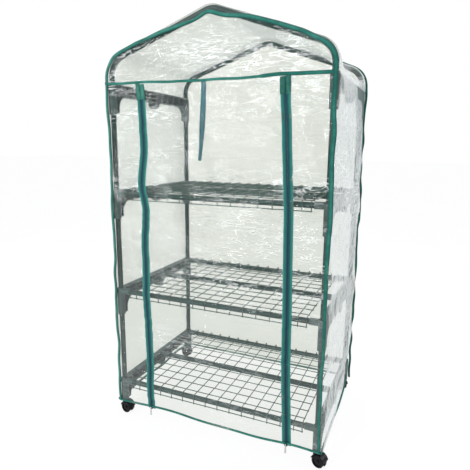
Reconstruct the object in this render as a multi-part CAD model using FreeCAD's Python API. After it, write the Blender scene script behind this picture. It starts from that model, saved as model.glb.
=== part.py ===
import FreeCAD, Part
import math
import os

from FreeCAD import Vector

# Mini greenhouse: a plug-together tube frame on casters with three wire shelves and a
# zipped clear film cover. Millimetres. X runs across the front, -Y is the front, +Z is up.
# The origin is on the floor at the centre of the footprint.

# ---- driving dimensions ----
WIDTH = 660.0  # between post centres, across the front
DEPTH = 440.0  # between post centres, front to back
TIER_STEP = 316.0  # height from one shelf to the next
BASE_TUBE_Z = 112.0  # axis height of the lowest shelf tubes
TUBE_D = 16.0
TUBE_WALL = 0.7
SOCKET_GAP = 0.1  # radial clearance of a tube in its socket
SLEEVE_D = 24.0
ROOF_SLOPE_DEG = 19.5
ROOF_CORNER_Z = 1131.0  # where the post line meets the roof line
TUBE_BEND_R = 60.0
PLUG_HALF_TURN_DEG = 15.0  # half of the ridge plug's length, as an angle of the ridge bend
PLUG_GAP = 0.1  # radial clearance of the plug in the left half
WIRE_D = 2.8
MESH_PITCH_X = 40.5
MESH_PITCH_Y = 40.0
MESH_HALF_LENGTH = 290.0
LIP_DROP = 17.5  # the cross wires turn down to this far below the tube axis
LIP_WIRE_DROP = 16.0  # and one more long wire runs along each row of turned-down ends
LIP_GAP = 0.5  # from the tube to the turned-down ends
LIP_BEND_R = 5.0
WELD = 0.2  # depth that crossing wires are pressed into each other
WHEEL_D = 37.0
FILM = 0.8  # film thickness
ROOF_GAP = 9.0  # from the roof tubes' axis to the inner face of the film
COVER_HALF_WIDTH = 343.0  # inner face of the side walls
COVER_HALF_DEPTH = 235.0  # inner face of the front and back panels
HEM_Z = 46.0
SEAM_Z = 1066.0  # seam between the door opening and the gable

# ---- derived levels ----
HALF_W = WIDTH / 2
HALF_D = DEPTH / 2
TIERS = {
    "base": BASE_TUBE_Z,
    "middle": BASE_TUBE_Z + TIER_STEP,
    "upper": BASE_TUBE_Z + 2 * TIER_STEP,
    "eave": BASE_TUBE_Z + 3 * TIER_STEP,
}
SHELF_TIERS = ("base", "middle", "upper")
SIDES = {"left": -1, "right": 1}
ENDS = {"front": -1, "rear": 1}
TUBE_R = TUBE_D / 2
BORE_R = TUBE_R + SOCKET_GAP
SLOPE = math.radians(ROOF_SLOPE_DEG)

# ---- side bracket, measured from its post and shelf tube axes ----
BAND_TOP = 10.0
BAND_BOTTOM = -24.0
LEG_END = -78.0
BASE_LEG_END = -68.0  # the lowest brackets stand on the casters
FIN_LIFT = 4.0  # the fin stops this far above the end of the leg
FIN_REACH = 18.0  # from the post axis to the edge of the fin on the leg
GUSSET_R = 35.0
LOBE_R = 20.0
SKIN = 3.0
BRACKET_HALF_THICK = 10.0
STOP_TOP = -12.0  # the tube above stands on this stop
STOP_BOTTOM = -16.0
SOCKET_REACH = 36.0  # length of a shelf tube socket, from the post axis
SOCKET_D = 20.0
SOCKET_FLOOR = 12.5
RIB_PITCH = 38.0
RIB = 2.4
RIB_SETBACK = 1.5  # the ribs stop short of the open side
EYE_Z = -30.0  # the round hole in the middle lobe
EYE_HOLE_R = 4.5
EYE_BOSS_R = 8.0
SLOT_YS = (178.0, 162.0)  # small slots in the top of the band
SLOT_HALF_W = 2.5

# ---- caster, measured from the floor and its swivel axis ----
CASTER_TOP = TIERS["base"] + BASE_LEG_END
TRAIL = 10.0
WHEEL_R = WHEEL_D / 2
WELL_R = WHEEL_R + 1.2
HOOD_R = WELL_R + 1.8
WHEEL_INNER = 4.4
WHEEL_OUTER = 13.0
FORK_HALF = 3.8
AXLE_R = 2.5
PIN_R = 3.5
PIN_FOOT = WHEEL_R + 10.5
RUNNING = 0.08
BOSS_R = 10.0
TREAD_ROUND = 2.2
DISH_RIM = 5.0
DISH_DEPTH = 2.5
HUB_R = 5.0
AXLE_INSET = 1.5  # the axle ends this far inside the wheels' outer faces
PLUG_LENGTH = 38.0

# Heading of each trailing wheel, in degrees from +X, as the casters stand at rest.
CASTER_HEADING = {
    ("front", "left"): -9.0,
    ("front", "right"): -18.0,
    ("rear", "left"): 168.0,
    ("rear", "right"): 160.0,
}

# ---- zips ----
ZIP_GAP = 6.0  # half the gap between the door's edge and the cover's edge
ZIP_TAPE_W = 9.0
ZIP_TAPE_T = 0.8
ZIP_FOOT_Z = 56.0
ZIP_HEAD_Z = 1060.0
# x at the foot and at the head of each zip
ZIP_LINES = {"left": (-214.0, -220.0), "right": (244.0, 211.0)}
TAPE_HEAD_GAP = 3.0  # from the door's upper edge down to the head of the zip tapes

# ---- door flap: it turns about the seam, and its upper edge stops just short of it ----
DOOR_HINGE_Z = SEAM_Z - 2.0
DOOR_TOP_Z = DOOR_HINGE_Z - 1.5
PANEL_GAP = 0.3  # between the gable panel and the two front strips below it

# ---- zip sliders and pulls ----
SLIDER_REST_Z = 50.0
SLIDER_HALF_W = 4.5
SLIDER_HALF_H = 6.5
SLIDER_BACK = -232.5
SLIDER_FRONT = -238.6
SLIDER_ROUND = 2.0
PIVOT_Y = -241.0
PIVOT_R = 0.8
CHEEK_X = 3.0
CHEEK_HALF_T = 0.6
CHEEK_HALF_H = 2.0
PULL_LENGTH = 27.0
PULL_HALF_T = 0.7
EYE_R = 2.0
EYE_BORE_R = 1.1
SHANK_HALF_W = 1.6
GRIP_HALF_W = 2.6
GRIP_LENGTH = 18.0
TIP_ROUND = 1.6

# ---- tie strap: x and z of its upper and lower end ----
STRAP_TOP = (-18.0, 1060.0)
STRAP_END = (-32.0, 851.0)
STRAP_HALF_TOP = 8.0
STRAP_HALF_END = 4.5
STRAP_BACK = -232.3
STRAP_T = 1.4

PARTS = "parts"


def box(x0, x1, y0, y1, z0, z1):
    return Part.makeBox(x1 - x0, y1 - y0, z1 - z0, Vector(x0, y0, z0))


def rod(radius, start, end):
    span = end - start
    return Part.makeCylinder(radius, span.Length, start, span)


def tube_between(start, end):
    outer = rod(TUBE_R, start, end)
    return outer.cut(rod(TUBE_R - TUBE_WALL, start, end))


def line(a, b):
    return Part.LineSegment(a, b).toShape()


def arc(a, mid, b):
    return Part.Arc(a, mid, b).toShape()


def polygon(points):
    return Part.Face(Part.makePolygon(points + points[:1]))


def save(name, shape):
    shape.exportStep(os.path.join(PARTS, name + ".step"))


# ---- side brackets ----
def bracket_outline(inset, x, leg_end):
    """Side outline of the band, its two legs and the middle lobe, shrunk by inset."""
    top = BAND_TOP - inset
    low = BAND_BOTTOM + inset
    fin = HALF_D - FIN_REACH + inset
    foot = leg_end + FIN_LIFT + inset
    centre_y = HALF_D - FIN_REACH - GUSSET_R
    centre_z = BAND_BOTTOM - GUSSET_R
    radius = GUSSET_R + inset
    half = radius * math.sqrt(0.5)
    lobe = LOBE_R - inset
    lobe_y = math.sqrt(lobe**2 - inset**2)

    def at(y, z):
        return Vector(x, y, z)

    def leg(side):
        return [
            arc(
                at(side * centre_y, low),
                at(side * (centre_y + half), centre_z + half),
                at(side * fin, centre_z),
            ),
            line(at(side * fin, centre_z), at(side * fin, foot)),
            line(at(side * fin, foot), at(side * HALF_D, foot)),
            line(at(side * HALF_D, foot), at(side * HALF_D, top)),
        ]

    edges = leg(1) + leg(-1)
    edges.append(line(at(-HALF_D, top), at(HALF_D, top)))
    edges.append(line(at(lobe_y, low), at(centre_y, low)))
    edges.append(line(at(-lobe_y, low), at(-centre_y, low)))
    edges.append(arc(at(-lobe_y, low), at(0, BAND_BOTTOM - lobe), at(lobe_y, low)))
    return Part.Face(Part.Wire(Part.__sortEdges__(edges)))


def side_bracket(socket_ys, leg_end):
    """Moulded side bracket for the left side, with +X towards the middle of the frame."""
    across_band = Vector(2 * BRACKET_HALF_THICK, 0, 0)
    shell = bracket_outline(0, -BRACKET_HALF_THICK, leg_end).extrude(across_band)
    pocket = bracket_outline(SKIN, SKIN - BRACKET_HALF_THICK, leg_end).extrude(across_band)
    body = shell.cut(pocket)
    ribs = []
    count = int((HALF_D - FIN_REACH) // RIB_PITCH)
    for n in range(-count, count + 1):
        y = n * RIB_PITCH
        foot = BAND_BOTTOM - LOBE_R + SKIN if n == 0 else BAND_BOTTOM
        ribs.append(
            box(
                -BRACKET_HALF_THICK,
                BRACKET_HALF_THICK - RIB_SETBACK,
                y - RIB / 2,
                y + RIB / 2,
                foot,
                BAND_TOP,
            )
        )
    sockets = []
    bores = []
    for y in socket_ys:
        sockets.append(rod(SOCKET_D / 2, Vector(-BRACKET_HALF_THICK + 1, y, 0), Vector(SOCKET_REACH, y, 0)))
        bores.append(rod(BORE_R, Vector(SOCKET_FLOOR, y, 0), Vector(SOCKET_REACH + 1, y, 0)))
    for side in (-1, 1):
        y = side * HALF_D
        sockets.append(rod(SLEEVE_D / 2, Vector(0, y, leg_end), Vector(0, y, BAND_TOP)))
        bores.append(rod(BORE_R, Vector(0, y, leg_end - 1), Vector(0, y, STOP_BOTTOM)))
        bores.append(rod(BORE_R, Vector(0, y, STOP_TOP), Vector(0, y, BAND_TOP + 1)))
    outer, inner = -BRACKET_HALF_THICK, BRACKET_HALF_THICK
    ring = rod(EYE_BOSS_R, Vector(outer, 0, EYE_Z), Vector(inner, 0, EYE_Z))
    eye = rod(EYE_HOLE_R, Vector(outer - 1, 0, EYE_Z), Vector(inner + 1, 0, EYE_Z))
    slots = [
        box(-4, inner + 1, y - SLOT_HALF_W, y + SLOT_HALF_W, BAND_TOP - SKIN - 1, BAND_TOP + 1)
        for place in SLOT_YS
        for y in (-place, place)
    ]
    body = body.multiFuse(ribs + sockets + [ring])
    return body.cut(Part.makeCompound(bores + [eye] + slots)).removeSplitter()


def make_side_brackets():
    """A bracket per side and tier; the eave carries no shelf, so its brackets have no tube sockets."""
    socket_ys = (-HALF_D, 0.0, HALF_D)
    shelf_bracket = side_bracket(socket_ys, LEG_END)
    kinds = {"base": side_bracket(socket_ys, BASE_LEG_END), "eave": side_bracket((), LEG_END)}
    for tier, z in TIERS.items():
        left = kinds.get(tier, shelf_bracket)
        right = left.rotated(Vector(0, 0, 0), Vector(0, 0, 1), 180)
        for side, shape in (("left", left), ("right", right)):
            save(f"side_bracket_{side}_{tier}", shape.translated(Vector(SIDES[side] * HALF_W, 0, z)))


# ---- posts, shelf tubes and roof arches ----
def make_posts():
    names = list(TIERS)
    for lower, upper, bay in zip(names, names[1:], ("lower", "middle", "upper")):
        start = TIERS[lower] + STOP_TOP
        end = TIERS[upper] + STOP_BOTTOM - 1.0
        for end_name, y_sign in ENDS.items():
            for side, x_sign in SIDES.items():
                x, y = x_sign * HALF_W, y_sign * HALF_D
                post = tube_between(Vector(x, y, start), Vector(x, y, end))
                save(f"post_{end_name}_{side}_{bay}", post)


def make_shelf_tubes():
    reach = HALF_W - SOCKET_FLOOR - 0.5
    for tier in SHELF_TIERS:
        for place, y in (("front", -HALF_D), ("centre", 0.0), ("rear", HALF_D)):
            z = TIERS[tier]
            save(f"shelf_tube_{place}_{tier}", tube_between(Vector(-reach, y, z), Vector(reach, y, z)))


def bend(corner, before, after, radius):
    """Tangent points and middle of the arc that rounds a corner."""
    u = (before - corner).normalize()
    v = (after - corner).normalize()
    half_turn = (math.pi - u.getAngle(v)) / 2
    tangent = radius * math.tan(half_turn)
    middle_dir = (u + v).normalize()
    middle = corner + middle_dir * (radius / math.cos(half_turn) - radius)
    return corner + u * tangent, middle, corner + v * tangent


def arch_path(y, start_z):
    """Half of an arch's centre line, from its post socket to the ridge."""
    foot = Vector(HALF_W, y, start_z)
    corner = Vector(HALF_W, y, ROOF_CORNER_Z)
    peak = Vector(0, y, ROOF_CORNER_Z + HALF_W * math.tan(SLOPE))
    far = Vector(-HALF_W, y, ROOF_CORNER_Z)
    a, a_mid, b = bend(corner, foot, peak, TUBE_BEND_R)
    c, ridge, _ = bend(peak, corner, far, TUBE_BEND_R)
    quarter = SLOPE / 2
    centre_z = ridge.z - TUBE_BEND_R
    c_mid = Vector(TUBE_BEND_R * math.sin(quarter), y, centre_z + TUBE_BEND_R * math.cos(quarter))
    roof = [line(foot, a), arc(a, a_mid, b), line(b, c), arc(c, c_mid, ridge)]
    return roof, ridge


def sweep(edges, radius, start, direction):
    circle = Part.Wire(Part.makeCircle(radius, start, direction))
    return Part.Wire(edges).makePipeShell([circle], True, False)


def make_arches():
    start_z = TIERS["eave"] + STOP_TOP
    for end_name, y_sign in ENDS.items():
        y = y_sign * HALF_D
        path, ridge = arch_path(y, start_z)
        foot = Vector(HALF_W, y, start_z)
        outer = sweep(path, TUBE_R, foot, Vector(0, 0, 1))
        inner = sweep(path, TUBE_R - TUBE_WALL, foot, Vector(0, 0, 1))
        half = outer.cut(inner)
        mirrored = half.mirror(Vector(0, 0, 0), Vector(1, 0, 0))
        # The right half carries a solid joining plug that enters the left half at the ridge.
        # A collar inside the right half holds the plug.
        turn = math.radians(PLUG_HALF_TURN_DEG)
        centre = Vector(0, y, ridge.z - TUBE_BEND_R)

        def on_ridge(angle):
            return centre + Vector(math.sin(angle), 0, math.cos(angle)) * TUBE_BEND_R

        plug_path = [arc(on_ridge(turn), on_ridge(0), on_ridge(-turn))]
        heading = Vector(-math.cos(turn), 0, math.sin(turn))
        plug = sweep(plug_path, TUBE_R - TUBE_WALL - PLUG_GAP, on_ridge(turn), heading)
        collar = sweep(
            [arc(on_ridge(turn), on_ridge(turn / 2), on_ridge(turn / 8))],
            TUBE_R - TUBE_WALL + PLUG_GAP,
            on_ridge(turn),
            heading,
        )
        right = half.multiFuse([plug, collar])
        save(f"roof_arch_{end_name}_right", right)
        save(f"roof_arch_{end_name}_left", mirrored)


# ---- wire shelves ----
def shelf_wires(tier_z):
    """Long wires along X with cross wires on top that turn down over both end tubes."""
    radius = WIRE_D / 2
    long_z = tier_z + TUBE_R + radius
    cross_z = long_z + WIRE_D - WELD
    lip_y = HALF_D + TUBE_R + LIP_GAP + radius
    lip_low = tier_z - LIP_DROP
    half_count = int(HALF_D // MESH_PITCH_Y)
    wires = []
    for n in range(-half_count, half_count + 1):
        y = n * MESH_PITCH_Y
        wires.append(rod(radius, Vector(-MESH_HALF_LENGTH, y, long_z), Vector(MESH_HALF_LENGTH, y, long_z)))
    for y_sign in (-1, 1):
        y = y_sign * (lip_y - WIRE_D + WELD)
        z = tier_z - LIP_WIRE_DROP
        wires.append(rod(radius, Vector(-MESH_HALF_LENGTH, y, z), Vector(MESH_HALF_LENGTH, y, z)))

    places = [(n + 0.5) * MESH_PITCH_X for n in range(-7, 7)]
    edge = MESH_HALF_LENGTH - 2.0
    for x in [-edge] + places + [edge]:
        points = [
            Vector(x, -lip_y, lip_low),
            Vector(x, -lip_y, cross_z),
            Vector(x, lip_y, cross_z),
            Vector(x, lip_y, lip_low),
        ]
        a, a_mid, b = bend(points[1], points[0], points[2], LIP_BEND_R)
        c, c_mid, d = bend(points[2], points[1], points[3], LIP_BEND_R)
        path = [line(points[0], a), arc(a, a_mid, b), line(b, c), arc(c, c_mid, d), line(d, points[3])]
        wires.append(sweep(path, radius, points[0], Vector(0, 0, 1)))
    return Part.makeCompound(wires)


def make_shelves():
    for tier in SHELF_TIERS:
        save(f"wire_shelf_{tier}", shelf_wires(TIERS[tier]))


# ---- casters ----
def across(radius, y0, y1):
    """A round bar on the wheel axis, from y0 to y1."""
    return rod(radius, Vector(TRAIL, y0, WHEEL_R), Vector(TRAIL, y1, WHEEL_R))


def caster_housing():
    """Swivel housing about a vertical axis at the origin; the wheel trails along +X."""
    hood = across(HOOD_R, -WHEEL_OUTER, WHEEL_OUTER).common(box(-40, 60, -30, 30, WHEEL_R + 4, 60))
    rib = across(HOOD_R, -FORK_HALF, FORK_HALF).common(box(-40, 60, -30, 30, WHEEL_R - 9, 60))
    boss = rod(BOSS_R, Vector(0, 0, WHEEL_R + 8), Vector(0, 0, CASTER_TOP - 0.5))
    body = hood.multiFuse([rib, boss])
    wells = [
        across(WELL_R, FORK_HALF, WHEEL_OUTER + 8),
        across(WELL_R, -WHEEL_OUTER - 8, -FORK_HALF),
        across(AXLE_R + RUNNING, -FORK_HALF - 1, FORK_HALF + 1),
        rod(PIN_R + RUNNING, Vector(0, 0, PIN_FOOT - 0.5), Vector(0, 0, CASTER_TOP + 1)),
    ]
    return body.cut(Part.makeCompound(wells)).removeSplitter()


def caster_wheel(side):
    """One wheel of the pair: rounded tread, dished outer face and a hub."""
    inner, outer = side * WHEEL_INNER, side * WHEEL_OUTER

    wheel = across(WHEEL_R, inner, outer)
    rims = [e for e in wheel.Edges if abs(e.Length - 2 * math.pi * WHEEL_R) < 0.01]
    wheel = wheel.makeFillet(TREAD_ROUND, rims)
    dish = across(WHEEL_R - DISH_RIM, outer - side * DISH_DEPTH, outer + side)
    hub = across(HUB_R, outer - side * DISH_DEPTH, outer)
    return wheel.cut(dish).fuse(hub).cut(across(AXLE_R, inner - side, outer - side * AXLE_INSET))


def caster_wheels():
    axle = rod(
        AXLE_R,
        Vector(TRAIL, -WHEEL_OUTER + AXLE_INSET, WHEEL_R),
        Vector(TRAIL, WHEEL_OUTER - AXLE_INSET, WHEEL_R),
    )
    return Part.makeCompound([caster_wheel(-1), caster_wheel(1), axle])


def caster_stem():
    """Plug pressed into the leg, with a collar and the pin that the housing turns on."""
    plug = rod(TUBE_R, Vector(0, 0, CASTER_TOP), Vector(0, 0, CASTER_TOP + PLUG_LENGTH))
    pin = rod(PIN_R, Vector(0, 0, PIN_FOOT), Vector(0, 0, CASTER_TOP + 1))
    return plug.fuse(pin).removeSplitter()


def make_casters():
    housing, wheels, stem = caster_housing(), caster_wheels(), caster_stem()
    stems = []
    for end_name, y_sign in ENDS.items():
        for side, x_sign in SIDES.items():
            place = Vector(x_sign * HALF_W, y_sign * HALF_D, 0)
            heading = CASTER_HEADING[(end_name, side)]
            for name, shape in (("caster_housing", housing), ("caster_wheels", wheels)):
                turned = shape.rotated(Vector(0, 0, 0), Vector(0, 0, 1), heading)
                save(f"{name}_{end_name}_{side}", turned.translated(place))
            stems.append(stem.translated(place))
    save("caster_stems", Part.makeCompound(stems))


# ---- film cover ----
def roof_profile(offset):
    """Right half of the cover's cross-section line: wall top, shoulder arc, slope, ridge arc."""
    wall_x = COVER_HALF_WIDTH + offset
    roof_gap = ROOF_GAP + offset
    radius = TUBE_BEND_R + roof_gap
    peak_z = ROOF_CORNER_Z + HALF_W * math.tan(SLOPE) + roof_gap / math.cos(SLOPE)
    corner = Vector(wall_x, 0, peak_z - wall_x * math.tan(SLOPE))
    peak = Vector(0, 0, peak_z)
    below = Vector(wall_x, 0, HEM_Z)
    far = Vector(-wall_x, 0, corner.z)
    a, a_mid, b = bend(corner, below, peak, radius)
    c, ridge, _ = bend(peak, corner, far, radius)
    return a, a_mid, b, c, ridge


def flip(v):
    return Vector(-v.x, v.y, v.z)


def roof_line(offset):
    """Edges of the whole roof line, from the right wall over the ridge to the left wall."""
    a, a_mid, b, c, ridge = roof_profile(offset)
    return [
        arc(a, a_mid, b),
        line(b, c),
        arc(c, ridge, flip(c)),
        line(flip(c), flip(b)),
        arc(flip(b), flip(a_mid), flip(a)),
    ]


def end_panel(low_z, y, direction):
    """A front or back panel under the roof line, down to low_z."""
    a = roof_profile(FILM)[0]
    x = a.x
    edges = roof_line(FILM)
    edges.append(line(flip(a), Vector(-x, 0, low_z)))
    edges.append(line(Vector(-x, 0, low_z), Vector(x, 0, low_z)))
    edges.append(line(Vector(x, 0, low_z), a))
    face = Part.Face(Part.Wire(Part.__sortEdges__(edges)))
    face.translate(Vector(0, y, 0))
    return face.extrude(Vector(0, direction * FILM, 0))


def zip_x(side, z):
    foot, head = ZIP_LINES[side]
    return foot + (head - foot) * (z - ZIP_FOOT_Z) / (ZIP_HEAD_Z - ZIP_FOOT_Z)


def front_plate(left_x, right_x, low_z, high_z, front, thick):
    """Plate on the front plane whose two edges may lean; left_x and right_x give x at a height."""
    points = [
        Vector(left_x(low_z), front, low_z),
        Vector(right_x(low_z), front, low_z),
        Vector(right_x(high_z), front, high_z),
        Vector(left_x(high_z), front, high_z),
    ]
    return polygon(points).extrude(Vector(0, -thick, 0))


def make_cover():
    outer_x = COVER_HALF_WIDTH + FILM
    front = -COVER_HALF_DEPTH
    wall_top = roof_profile(0)[0].z
    for side, sign in SIDES.items():
        x0, x1 = sorted((sign * COVER_HALF_WIDTH, sign * outer_x))
        save(
            f"cover_wall_{side}",
            box(x0, x1, -COVER_HALF_DEPTH, COVER_HALF_DEPTH, HEM_Z, wall_top),
        )

    a_in = roof_profile(0)[0]
    a_out = roof_profile(FILM)[0]
    edges = roof_line(0) + roof_line(FILM)
    edges.append(line(a_in, a_out))
    edges.append(line(flip(a_in), flip(a_out)))
    section = Part.Face(Part.Wire(Part.__sortEdges__(edges)))
    section.translate(Vector(0, -COVER_HALF_DEPTH, 0))
    save("cover_roof", section.extrude(Vector(0, 2 * COVER_HALF_DEPTH, 0)))

    save("cover_back", end_panel(HEM_Z, COVER_HALF_DEPTH, 1))
    save("cover_gable", end_panel(SEAM_Z, front, -1))

    seam = SEAM_Z - PANEL_GAP
    left_strip = front_plate(
        lambda z: -outer_x, lambda z: zip_x("left", z) - ZIP_GAP, HEM_Z, seam, front, FILM
    )
    right_strip = front_plate(
        lambda z: zip_x("right", z) + ZIP_GAP, lambda z: outer_x, HEM_Z, seam, front, FILM
    )
    save("cover_front_left", left_strip)
    save("cover_front_right", right_strip)


def make_door():
    door = front_plate(
        lambda z: zip_x("left", z) + ZIP_GAP,
        lambda z: zip_x("right", z) - ZIP_GAP,
        HEM_Z,
        DOOR_TOP_Z,
        -COVER_HALF_DEPTH,
        FILM,
    )
    save("door_panel", door)


def zip_tape(side, away):
    """Tape beside one zip line; away is -1 for the tape on its left and 1 on its right."""
    front = -COVER_HALF_DEPTH - FILM
    edges = sorted((away * ZIP_GAP, away * (ZIP_GAP + ZIP_TAPE_W)))
    return front_plate(
        lambda z: zip_x(side, z) + edges[0],
        lambda z: zip_x(side, z) + edges[1],
        HEM_Z,
        DOOR_TOP_Z - TAPE_HEAD_GAP,
        front,
        ZIP_TAPE_T,
    )


def make_zip_tapes():
    save("cover_zip_tapes", Part.makeCompound([zip_tape("left", -1), zip_tape("right", 1)]))
    save("door_zip_tapes", Part.makeCompound([zip_tape("left", 1), zip_tape("right", -1)]))


# ---- zip sliders and pulls, built at x = 0 on the pivot height z = 0 ----
def edges_along_y(body):
    return [e for e in body.Edges if abs(abs(e.tangentAt(e.FirstParameter).y) - 1) < 1e-6]


def zip_slider():
    """Slider body with two cheeks that carry the pull's bar."""
    body = box(-SLIDER_HALF_W, SLIDER_HALF_W, SLIDER_FRONT, SLIDER_BACK, -SLIDER_HALF_H, SLIDER_HALF_H)
    body = body.makeFillet(SLIDER_ROUND, edges_along_y(body))
    cheeks = [
        box(
            x - CHEEK_HALF_T,
            x + CHEEK_HALF_T,
            PIVOT_Y - 1.5,
            SLIDER_FRONT + 0.5,
            -CHEEK_HALF_H,
            CHEEK_HALF_H,
        )
        for x in (-CHEEK_X, CHEEK_X)
    ]
    reach = CHEEK_X + 0.4
    bar = rod(PIVOT_R, Vector(-reach, PIVOT_Y, 0), Vector(reach, PIVOT_Y, 0))
    return body.multiFuse(cheeks + [bar]).removeSplitter()


def zip_pull():
    """Pull tab: an eye around the slider's bar, a shank and a wider grip with rounded corners."""
    front, back = PIVOT_Y - PULL_HALF_T, PIVOT_Y + PULL_HALF_T
    grip_top = -PULL_LENGTH + GRIP_LENGTH
    eye = rod(EYE_R, Vector(-SHANK_HALF_W, PIVOT_Y, 0), Vector(SHANK_HALF_W, PIVOT_Y, 0))
    shank = box(-SHANK_HALF_W, SHANK_HALF_W, front, back, grip_top - 6, 0)
    grip = box(-GRIP_HALF_W, GRIP_HALF_W, front, back, -PULL_LENGTH, grip_top)
    grip = grip.makeFillet(TIP_ROUND, edges_along_y(grip))
    hole = rod(EYE_BORE_R, Vector(-3, PIVOT_Y, 0), Vector(3, PIVOT_Y, 0))
    return eye.multiFuse([shank, grip]).cut(hole).removeSplitter()


def make_sliders():
    slider, pull = zip_slider(), zip_pull()
    for side in SIDES:
        place = Vector(zip_x(side, SLIDER_REST_Z), 0, SLIDER_REST_Z)
        save(f"zip_slider_{side}", slider.translated(place))
        save(f"zip_pull_{side}", pull.translated(place))


# ---- tie strap, inside the door below the seam ----
def make_strap():
    (x0, z0), (x1, z1) = STRAP_TOP, STRAP_END
    points = [
        Vector(x0 - STRAP_HALF_TOP, STRAP_BACK, z0),
        Vector(x1 - STRAP_HALF_END, STRAP_BACK, z1),
        Vector(x1 + STRAP_HALF_END, STRAP_BACK, z1),
        Vector(x0 + STRAP_HALF_TOP, STRAP_BACK, z0),
    ]
    save("tie_strap", polygon(points).extrude(Vector(0, -STRAP_T, 0)))


os.makedirs(PARTS, exist_ok=True)
make_side_brackets()
make_posts()
make_shelf_tubes()
make_arches()
make_shelves()
make_casters()
make_cover()
make_door()
make_zip_tapes()
make_sliders()
make_strap()
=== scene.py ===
import math

import bpy
import numpy as np
from mathutils import Matrix, Vector


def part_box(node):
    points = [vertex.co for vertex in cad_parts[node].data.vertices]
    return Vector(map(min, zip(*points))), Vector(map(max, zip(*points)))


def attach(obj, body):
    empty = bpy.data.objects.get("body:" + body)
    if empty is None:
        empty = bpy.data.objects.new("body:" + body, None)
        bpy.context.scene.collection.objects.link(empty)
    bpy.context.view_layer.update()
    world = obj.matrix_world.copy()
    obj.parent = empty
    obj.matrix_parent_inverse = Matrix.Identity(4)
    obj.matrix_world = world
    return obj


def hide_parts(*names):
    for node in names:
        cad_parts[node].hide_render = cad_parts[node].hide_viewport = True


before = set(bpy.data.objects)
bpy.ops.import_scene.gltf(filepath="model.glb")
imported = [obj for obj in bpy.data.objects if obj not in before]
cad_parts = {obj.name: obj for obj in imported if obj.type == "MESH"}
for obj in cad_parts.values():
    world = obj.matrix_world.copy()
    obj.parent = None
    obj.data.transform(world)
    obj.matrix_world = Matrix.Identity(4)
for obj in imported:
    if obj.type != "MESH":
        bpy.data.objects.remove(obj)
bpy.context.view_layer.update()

# ---- sizes read from the frame
MM = 0.001
wall_low, wall_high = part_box("cover_wall_right")
gable_low, gable_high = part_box("cover_gable")
strap_low, strap_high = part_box("tie_strap")

WALL_X = (wall_low.x + wall_high.x) / 2
HEM_Z = wall_low.z
SEAM_Z = gable_low.z
FRONT_Y = (gable_low.y + gable_high.y) / 2
REAR_Y = -FRONT_Y
RIDGE_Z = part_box("cover_roof")[1].z
DOOR_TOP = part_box("door_panel")[1].z
# Heights of the four tiers, read from the tops of the brackets.
TIERS = [(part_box(f"side_bracket_left_{t}")[1].z - 10 * MM) for t in ("base", "middle", "upper", "eave")]

# ---- sizes chosen for the cover
ROOF_SLOPE = math.radians(19.5)
ROUND_R = 69 * MM  # rounding of the film at the shoulders and the ridge
BRACKET_ABOVE = 12 * MM  # how far a bracket reaches above and below its tier
BRACKET_BELOW = 80 * MM
GRID = 7 * MM  # spacing of the film's vertices
ZIP_GAP = 2.5 * MM  # from a zip's centre to the film's edge
STRAP_W = 15.5 * MM

# Height above the hem and x of each zip's centre: a wavering line from hem to seam.
ZIP_WAVER = {
    "left": [(1.023, -0.221), (0.920, -0.217), (0.832, -0.215), (0.730, -0.226), (0.655, -0.214),
             (0.560, -0.220), (0.403, -0.217), (0.237, -0.216), (0.000, -0.214)],
    "right": [(1.023, 0.211), (0.920, 0.217), (0.837, 0.221), (0.730, 0.228), (0.617, 0.230),
              (0.438, 0.233), (0.202, 0.237), (0.000, 0.245)],
}
ZIP_HALF_W = 13.5 * MM
# Zip, which way its half lies from the chain, and the body that half rides on.
ZIP_HALVES = [("left", -1, "frame"), ("left", 1, "door"), ("right", 1, "frame"), ("right", -1, "door")]
PATCH_LENGTH = 46 * MM
PATCH_HALF_W = 14.2 * MM  # of the part of a patch on one side of the chain
BINDING_W = 12.5 * MM
REAR_BINDING_W = 9 * MM
BINDING_T = 2.6 * MM
HEM_W = 7 * MM
WALL_HEM_T = 4.4 * MM
LOW_CORNER_TUCK = 10 * MM  # the walls' lower rear corners are drawn in by this

# ---- studio
WORLD_STRENGTH = 0.8
FLOOR_GLOW = 0.91
FLOOR_HALF = 30.0
CAMERA_PLACE = (0.556, -1.348, HEM_Z + 0.844)
CAMERA_AHEAD = (-0.3872, 0.9013, -0.1943)
CAMERA_ROLL = 0.0087
CAMERA_LENS = 34.12
CAMERA_SENSOR = 36.0


# ---- numbers and fields
def smooth(t):
    """A soft step from 0 to 1."""
    t = np.clip(t, 0, 1)
    return t * t * (3 - 2 * t)


def field(u, v, wavelength, seed, heading=0.0, spread=math.pi, count=16):
    """Smooth random field of about unit size, a sum of waves that run within spread of heading."""
    rng = np.random.default_rng(seed)
    total = np.zeros(np.broadcast(u, v).shape)
    for _ in range(count):
        angle = heading + rng.uniform(-spread / 2, spread / 2)
        k = 2 * math.pi / (wavelength * rng.uniform(0.65, 1.5))
        total += np.sin(k * (u * math.cos(angle) + v * math.sin(angle)) + rng.uniform(0, 2 * math.pi))
    return total / math.sqrt(count / 2)


def creases(u, v, wavelength, seed, heading=0.0, spread=math.pi):
    """Sharp-crested folds: a field's zero lines, drawn up to narrow ridges."""
    ridge = 1 - np.abs(field(u, v, wavelength, seed, heading, spread))
    patchy = smooth(0.5 + 0.7 * field(u, v, wavelength * 3.2, seed + 50))
    return np.clip(ridge, 0, 1) ** 3 * patchy


def film_relief(u, v, seed, heading):
    """Height of the film's wrinkles in metres, before limits."""
    relief = 2.0 * field(u, v, 0.34, seed)
    relief += 1.1 * field(u, v, 0.13, seed + 1, heading, 1.6)
    relief += 2.0 * creases(u, v, 0.15, seed + 2, heading, 1.2)
    relief += 0.9 * creases(u, v, 0.07, seed + 3, heading + 0.9, 1.6)
    relief += 0.45 * field(u, v, 0.035, seed + 4, heading, 2.4)
    return relief * MM


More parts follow.
